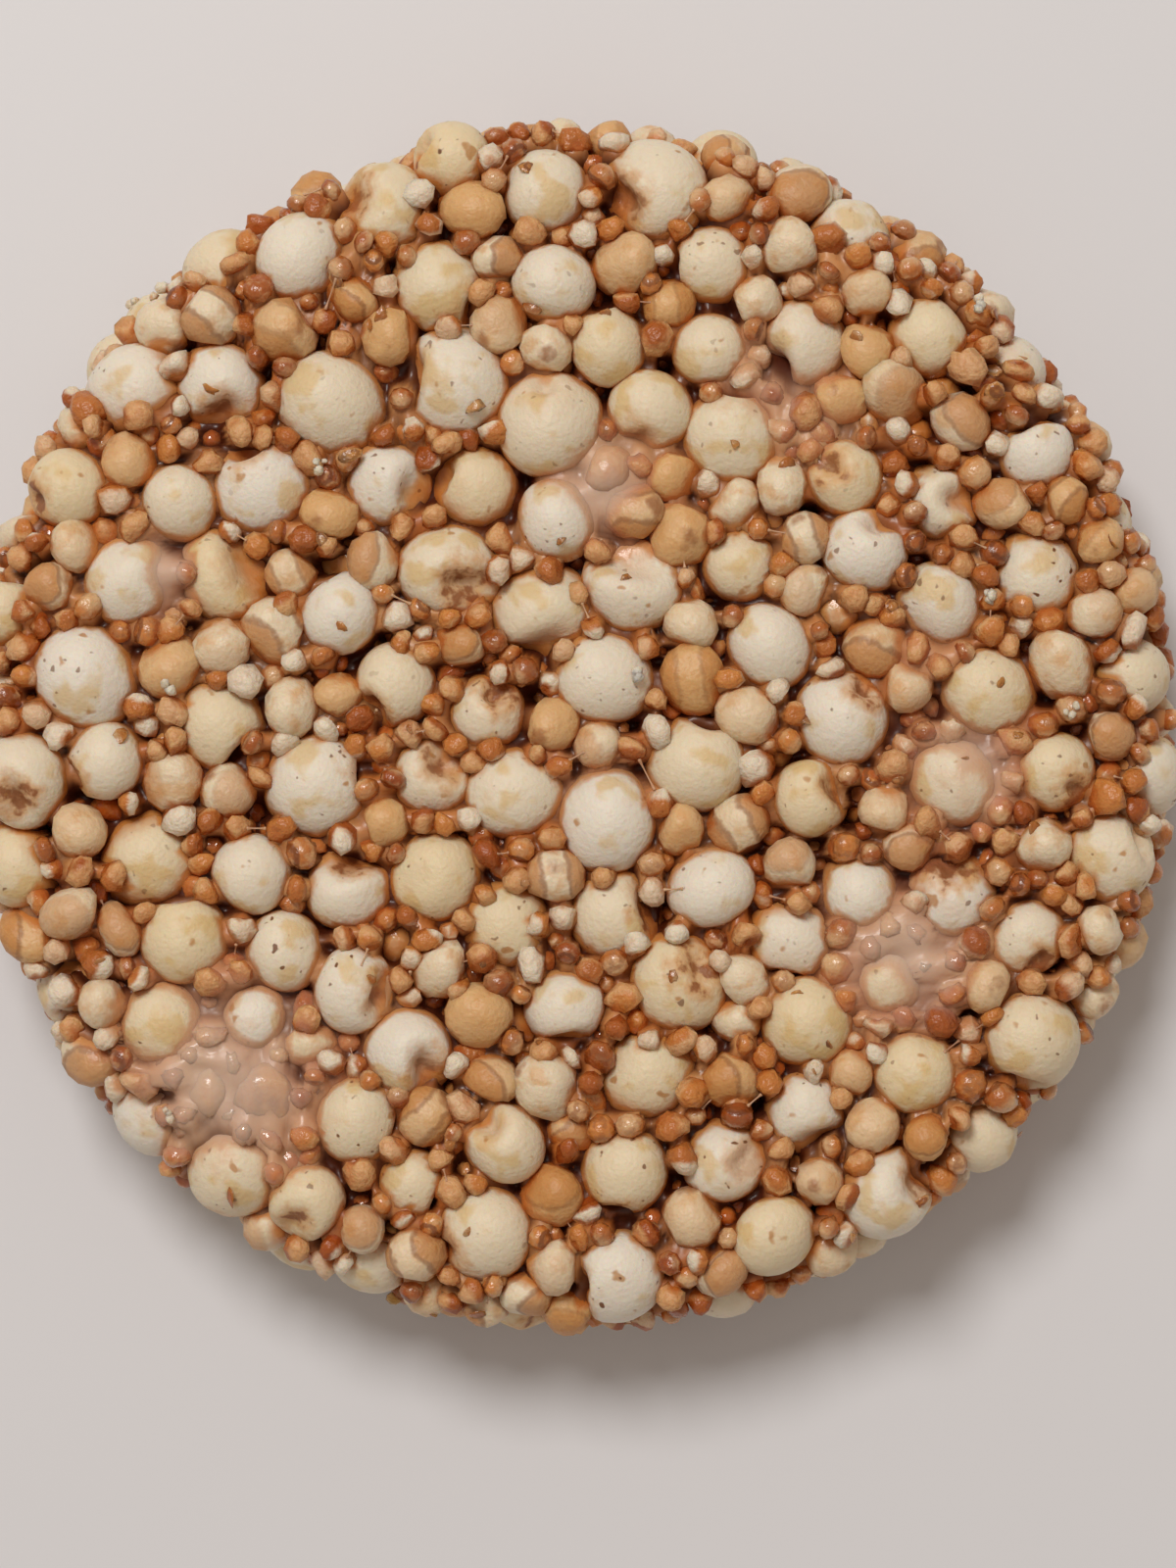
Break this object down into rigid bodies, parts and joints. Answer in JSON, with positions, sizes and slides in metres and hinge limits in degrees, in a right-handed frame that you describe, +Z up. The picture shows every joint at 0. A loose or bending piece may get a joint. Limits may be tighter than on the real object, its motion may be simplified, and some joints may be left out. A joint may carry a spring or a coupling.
{
  "type": "amaranth candy",
  "caption": "Round flat candy cake of puffed grains and popped amaranth bound with syrup, pressed level with an uneven grainy rim.",
  "frame": {"origin": "middle of the underside, on the surface the candy lies on", "axes": "+Z up through the thickness, towards the face that the picture shows; +Y towards the picture's top and +X to its right"},
  "size_m": [0.0723, 0.0719, 0.0137],
  "materials": {
    "puffed_grain": "matte, cream puffed grain with toasted yellow blotches",
    "popped_amaranth": "satin, small pale pops with amber sides",
    "bran_shell": "thin, glossy amber seed coat",
    "syrup_binder": "satin, milky set syrup"
  },
  "bodies": {
    "root": {"amaranth_candy": "puffed_grain"}
  },
  "joints": []
}
